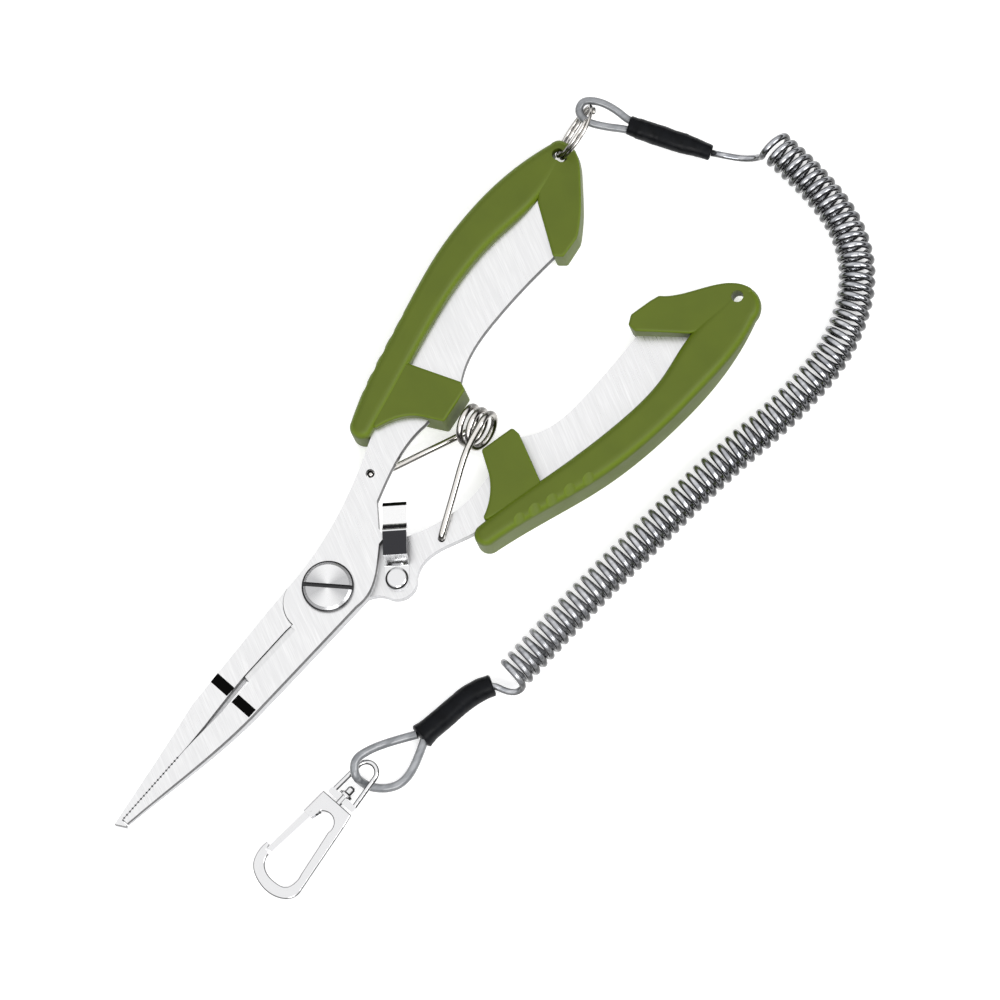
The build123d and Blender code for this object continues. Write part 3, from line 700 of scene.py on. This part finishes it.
@dataclass
class Studio:
    """The floor, the lights and the camera."""

    places: Places
    look_at: tuple[float, float, float] = (15.15, 39.58, 8.0)
    towards: Vector = field(default_factory=lambda: Vector((0.272, -0.106, 0.955)).normalized())
    right: Vector = field(default_factory=lambda: Vector((0.722, 0.679, -0.131)))
    distance: float = 6.72
    lens: float = 1100.0
    key: tuple[tuple[float, float, float], float, float] = ((0.9, 0.5, 0.9), 0.7, 6.5)  # place, side, power
    fill: tuple[tuple[float, float, float], float, float] = ((0.7, -0.6, 0.8), 0.6, 5.0)
    sky: tuple[tuple[float, float], ...] = (
        (0.0, 0.03), (0.24, 0.05), (0.4, 0.6), (0.62, 0.92), (0.85, 1.0), (1.0, 1.0),
    )  # (share of the way up, tone)

    def camera(self) -> None:
        """Makes the camera that looks down at the pliers from a little to the right."""
        data = bpy.data.cameras.new("camera")
        data.lens = self.lens
        data.sensor_width = 36.0
        data.clip_start, data.clip_end = 0.5, 40.0
        eye = bpy.data.objects.new("camera", data)
        bpy.context.scene.collection.objects.link(eye)
        right = (self.right - self.towards * self.right.dot(self.towards)).normalized()
        up = self.towards.cross(right)
        turn = Matrix((right, up, self.towards)).transposed().to_4x4()
        stand = self.places.at(*self.look_at) + self.towards * self.distance
        eye.matrix_world = Matrix.Translation(stand) @ turn
        bpy.context.scene.camera = eye

    def lamp(self, name: str, place: Vector, target: Vector, width: float, power: float) -> None:
        """Hangs a square soft light.

        Args:
            name: the light's name.
            place: where it hangs.
            target: what it points at.
            width: its side.
            power: its power in watts.
        """
        data = bpy.data.lights.new(name, "AREA")
        data.size = width
        data.energy = power
        light = bpy.data.objects.new(name, data)
        turn = (target - place).to_track_quat("-Z", "Y").to_matrix().to_4x4()
        light.matrix_world = Matrix.Translation(place) @ turn
        bpy.context.scene.collection.objects.link(light)

    def lights(self) -> None:
        """Makes the soft light from above and the sky that the metal mirrors."""
        middle = self.places.at(*self.look_at)
        for name, (place, width, power) in (("key", self.key), ("fill", self.fill)):
            self.lamp(name, middle + Vector(place), middle, width, power)
        world = bpy.data.worlds.new("studio")
        bpy.context.scene.world = world
        world.use_nodes = True
        tree = world.node_tree
        coords = tree.nodes.new("ShaderNodeTexCoord")
        split = tree.nodes.new("ShaderNodeSeparateXYZ")
        ramp = tree.nodes.new("ShaderNodeValToRGB")
        tree.links.new(coords.outputs["Generated"], split.inputs[0])
        tree.links.new(split.outputs["Z"], ramp.inputs["Fac"])
        tree.links.new(ramp.outputs["Color"], tree.nodes["Background"].inputs["Color"])
        while len(ramp.color_ramp.elements) < len(self.sky):
            ramp.color_ramp.elements.new(0.5)
        for element, (height, tone) in zip(ramp.color_ramp.elements, self.sky):
            element.position = height
            element.color = (tone, tone, tone, 1)
        tree.nodes["Background"].inputs["Strength"].default_value = 1.0
        bpy.context.scene.view_settings.view_transform = "Standard"

    def floor(self) -> None:
        """Makes the pale floor."""
        form = bmesh.new()
        bmesh.ops.create_grid(form, x_segments=1, y_segments=1, size=2.0)
        ground = finished("floor", form, smooth=False)
        recipe = Recipe(
            "floor", Roughness=0.9, Base_Color=(0.93, 0.93, 0.93, 1),
            Emission_Color=(1, 1, 1, 1), Emission_Strength=0.42,
        )
        dress(ground, recipe.material)

    def build(self) -> None:
        """Makes the camera, the lights and the floor."""
        self.camera()
        self.lights()
        self.floor()
        log.info("studio: camera, two lights, sky and floor")


@dataclass
class Lanyard:
    """The coiled cord with its two ends, their loops and shrink sleeves, and the split ring."""

    places: Places
    finishes: Finishes
    cord_r: float = 0.75
    coil_r: float = 4.2
    pitch: float = 2.33
    per_turn: int = 20
    loop_near_r: float = 0.9
    loop_far_r: float = 1.0
    coil_z: float = 4.22
    sleeve_rings: int = 72
    sleeve_sides: int = 40
    sleeve_shrink: float = 0.1  # how far the sleeves lie under their stations
    creases: tuple[tuple[float, float], ...] = ((300, 0.16), (1500, 0.05))  # (fineness, height)
    ring_hole: tuple[float, float, float] = (-29.3, 105.7, 5.5)
    ring_r: float = 6.6
    ring_wire_r: float = 0.42
    ring_slack: float = 0.97  # keeps the ring's turns from touching
    ring_turns: float = 1.93
    ring_steps: int = 40
    ring_start: float = 0.9  # radians from the way that the ring points
    ring_crossing: tuple[float, float] = (0.86, 0.22)  # start and length of the step, in turns

    def route(self) -> list[tuple[float, float, float]]:
        """Gives the control points of the coil's middle line."""
        flat = [
            (4.2, 139.0), (21, 139.3), (38.2, 132.2), (47.2, 116), (47.9, 97), (45.4, 78), (44.5, 57),
            (43.4, 35), (43.5, 12.5),
        ]
        return [(x, y, self.coil_z) for x, y in flat]

    def helix(self) -> list[Vector]:
        """Winds the cord about the coil's middle line, from its near side to its far one."""
        middle = line_through(self.places.all(self.route()), 24)
        turns = round(length_of(middle) / MM / self.pitch) + 0.5
        count = int(turns * self.per_turn) + 1
        line = evenly(middle, count)
        radius = (self.coil_r - self.cord_r) * MM
        wound = []
        for index, place in enumerate(line):
            before, after = line[max(0, index - 1)], line[min(count - 1, index + 1)]
            side = (after - before).normalized().cross(Vector((0, 0, 1)))
            angle = 2 * math.pi * turns * index / (count - 1)
            wound.append(place + (side * math.cos(angle) + Vector((0, 0, 1)) * math.sin(angle)) * radius)
        return wound

    def coil(self) -> None:
        """Makes the coiled cord, with a straight lead into each sleeve."""
        near = self.places.all([
            (-5.4, 129.0, 2.5), (-2.3, 130.9, 1.9), (0.3, 132.6, 1.5), (2.3, 134.2, 1.9), (3.5, 135.3, 2.9),
        ])
        far = self.places.all([
            (46.8, 11.7, 2.9), (46.1, 10.5, 2.2), (44.6, 9.5, 2.1), (42.9, 8.9, 2.5), (41.3, 8.4, 2.8),
            (40.7, 7.3, 2.8),
        ])
        leading = [*near, *self.helix(), *far]
        path = line_through(leading, 2)
        piece = tube("coiled_cord", leading, self.cord_r * MM, 2)
        self.finishes.put(piece, Slot.CLEAR)
        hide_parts("coil_cord", "cord_lead_near", "cord_lead_far")
        start, end = self.places.at(0, 140, 4), self.places.at(50, 100, 4)
        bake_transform(piece)
        log.info("coiled cord %.0f mm long", length_of(path) / MM)

    def loop(
        self, name: str, node: str, body: str, points: list[tuple[float, float, float]], radius: float
    ) -> None:
        """Makes the loop at one end of the lanyard.

        Args:
            name: the piece's name.
            node: the CAD node that it stands for.
            body: the body that it rides on.
            points: its control points.
            radius: the cord's radius in millimetres.
        """
        places = self.places.all(points)
        piece = nurbs(name, places, radius * MM, 14)
        self.finishes.put(piece, Slot.GREY)
        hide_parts(node)
        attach(piece, body)
        length = length_of(line_through(places, 14))
        log.info("%s %.1f mm long", name, length / MM)

    def loops(self) -> None:
        """Makes both loops."""
        self.loop(
            "near_loop", "cord_loop_near", "front_half",
            [
                (-20.7, 122.94, 5.8), (-23.0, 121.86, 6.3), (-26.6, 121.7, 7.4), (-30.3, 120.6, 8.7),
                (-33.3, 118.3, 9.0), (-32.5, 115.6, 8.9), (-29.5, 115.1, 8.6), (-25.8, 117.2, 7.6),
                (-22.2, 120.14, 6.3), (-19.9, 121.22, 5.8),
            ],
            self.loop_near_r,
        )
        self.loop(
            "far_loop", "cord_loop_far", "back_half",
            [
                (36.6, -10.9, 3.35), (34.8, -13.4, 2.9), (32.6, -17.0, 3.0), (31.3, -20.6, 4.6),
                (30.6, -24.5, 5.6), (33.0, -27.1, 4.8), (34.7, -26.7, 1.7), (36.5, -26.2, 1.05),
                (39.6, -23.9, 1.05), (41.2, -20.6, 1.1), (40.7, -15.9, 2.1), (38.6, -10.7, 3.35),
            ],
            self.loop_far_r,
        )

    def sleeve(self, name: str, node: str, body: str, places: list[Vector], stations: Stations) -> None:
        """Makes a shrink sleeve: a tube whose radius follows stations, with creases round it.

        Args:
            name: the piece's name.
            node: the CAD node that it stands for.
            body: the body that it rides on.
            places: control points of its middle line.
            stations: (share of the length, radius in millimetres), in order.
        """
        line = evenly(line_through(places, 16), self.sleeve_rings)
        form = bmesh.new()
        rings = []
        for index, place in enumerate(line):
            share = index / (len(line) - 1)
            before, after = line[max(0, index - 1)], line[min(len(line) - 1, index + 1)]
            turn = (after - before).to_track_quat("Z", "Y").to_matrix().to_4x4()
            low, high = next((a, b) for a, b in zip(stations, stations[1:]) if share <= b[0] + 1e-9)
            radius = low[1] + (high[1] - low[1]) * (share - low[0]) / (high[0] - low[0])
            made = bmesh.ops.create_circle(
                form, segments=self.sleeve_sides, radius=radius * MM, matrix=Matrix.Translation(place) @ turn
            )
            for vertex in made["verts"]:
                crease = sum(noise.noise(vertex.co * fine) * height for fine, height in self.creases)
                vertex.co += (vertex.co - place).normalized() * (crease - self.sleeve_shrink) * MM
            rings.append(made["verts"])
        hoops = [[edge for edge in form.edges if all(v in ring for v in edge.verts)] for ring in rings]
        for first, second in zip(hoops, hoops[1:]):
            bmesh.ops.bridge_loops(form, edges=first + second)
        bmesh.ops.holes_fill(form, edges=[e for e in form.edges if e.is_boundary], sides=0)
        piece = finished(name, form)
        self.finishes.put(piece, Slot.SLEEVE)
        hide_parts(node)
        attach(piece, body)
        log.info("%s", name)

    def sleeves(self) -> None:
        """Makes both shrink sleeves."""
        self.sleeve(
            "near_sleeve", "shrink_near", "front_half",
            self.places.all([(-22.6, 121.0, 6.3), (-14, 125, 4.4), (-5.4, 129.0, 2.5)]),
            [
                (0, 1.9), (0.01, 2.2), (0.1, 2.3), (0.124, 2.45), (0.67, 2.4), (0.9, 1.95), (0.99, 1.9),
                (1, 1.6),
            ],
        )
        self.sleeve(
            "far_sleeve", "shrink_far", "back_half",
            self.places.all([
                (41.3, 8.4, 2.8), (39.9, 5.8, 2.8), (38.8, 1.5, 2.9), (38.2, -4.6, 3.12), (37.6, -10.8, 3.35),
            ]),
            [(0, 2.3), (0.01, 2.6), (0.2, 2.68), (0.85, 2.62), (0.9, 2.75), (0.985, 3.12), (1, 2.8)],
        )

    def ring(self) -> None:
        """Makes the split ring: two turns of wire side by side, with the step between them."""
        out = Vector((-0.10, 0.965, 0.24)).normalized()
        axis = out.cross(Vector((0.42, -0.16, 0.89))).normalized()
        across = axis.cross(out)
        centre = self.places.at(*self.ring_hole) + out * self.ring_r * MM
        begin, length = self.ring_crossing
        points = []
        for index in range(int(self.ring_turns * self.ring_steps) + 1):
            turned = index / self.ring_steps
            angle = 2 * math.pi * turned + self.ring_start
            share = min(1.0, max(0.0, (turned - begin) / length))
            offset = (2 * share * share * (3 - 2 * share) - 1) * self.ring_wire_r
            spoke = out * math.cos(angle) + across * math.sin(angle)
            points.append(centre + (spoke * self.ring_r + axis * offset) * MM)
        piece = tube("double_ring", points, self.ring_wire_r * MM * self.ring_slack, 2)
        self.finishes.put(piece, Slot.WIRE)
        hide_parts("split_ring")
        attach(piece, "ring")
        log.info("double ring")

    def build(self) -> None:
        """Makes the whole lanyard."""
        self.coil()
        self.loops()
        self.sleeves()
        self.ring()


@dataclass
class Spring:
    """The torsion spring: a few open turns with a leg to a hole in each plate."""

    places: Places
    finishes: Finishes
    centre: tuple[float, float, float] = (-0.9, 48.3, 5.5)
    axis: tuple[float, float, float] = (0.93, 0.26, 0.25)
    coil_r: float = 4.2
    wire_r: float = 0.75
    turns: float = 2.5
    pitch: float = 2.35
    steps: int = 28
    front_leg: tuple[tuple[float, float, float], ...] = (
        (-10.7, 25.0, 7.6), (-10.7, 25.0, 5.4), (-10.5, 25.6, 4.3), (-8.0, 31.5, 4.2), (-5.6, 38.5, 3.3),
    )
    back_leg: tuple[tuple[float, float, float], ...] = (
        (1.9, 42.5, 8.6), (5.4, 35.5, 7.5), (10.0, 26.2, 6.45), (10.7, 24.9, 6.2), (10.7, 24.9, 3.8),
    )

    def build(self) -> None:
        """Winds the spring, from the front plate's hole to the back plate's."""
        along = Vector(self.axis).normalized()
        over = (Vector((0, 0, 1)) - along * along.z).normalized()
        ahead = over.cross(along)
        centre = Vector(self.centre)
        wound = []
        for index in range(int(self.turns * self.steps) + 1):
            angle = 2 * math.pi * index / self.steps - math.pi / 2
            shift = (index / self.steps - self.turns / 2) * self.pitch
            spoke = ahead * math.cos(angle) + over * math.sin(angle)
            wound.append(centre + along * shift + spoke * self.coil_r)
        points = [self.places.at(*p) for p in (*self.front_leg, *wound, *self.back_leg)]
        piece = tube("wound_spring", points, self.wire_r * MM, 3)
        self.finishes.put(piece, Slot.WIRE)
        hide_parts("torsion_spring")
        start, end = self.places.at(-9, 28, 5.5), self.places.at(8, 28, 5.5)
        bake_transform(piece)
        log.info("spring")


@dataclass
class Tool:
    """The pliers' own solids, which keep their shape and take their finish here."""

    frame: dict
    finishes: Finishes

    def build(self) -> None:
        """Dresses every CAD node by its slot in the record."""
        for part in self.frame["record"]["subparts"]:
            node = self.frame["nodes"][part["node"]]
            dress(node, self.finishes.of[Slot(part["material_slot"])])
        dress(self.frame["nodes"]["lock_latch"], self.finishes.strip)
        log.info("%d nodes dressed", len(self.frame["nodes"]))


def main() -> None:
    """Builds the scene around the frame."""
    logging.basicConfig(level=logging.INFO, format="%(name)s: %(message)s")
    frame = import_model()
    places = Places(frame)
    Studio(places).build()
    finishes = Finishes(places)
    Lanyard(places, finishes).build()
    Spring(places, finishes).build()
    Tool(frame, finishes).build()


if __name__ == "__main__":
    main()
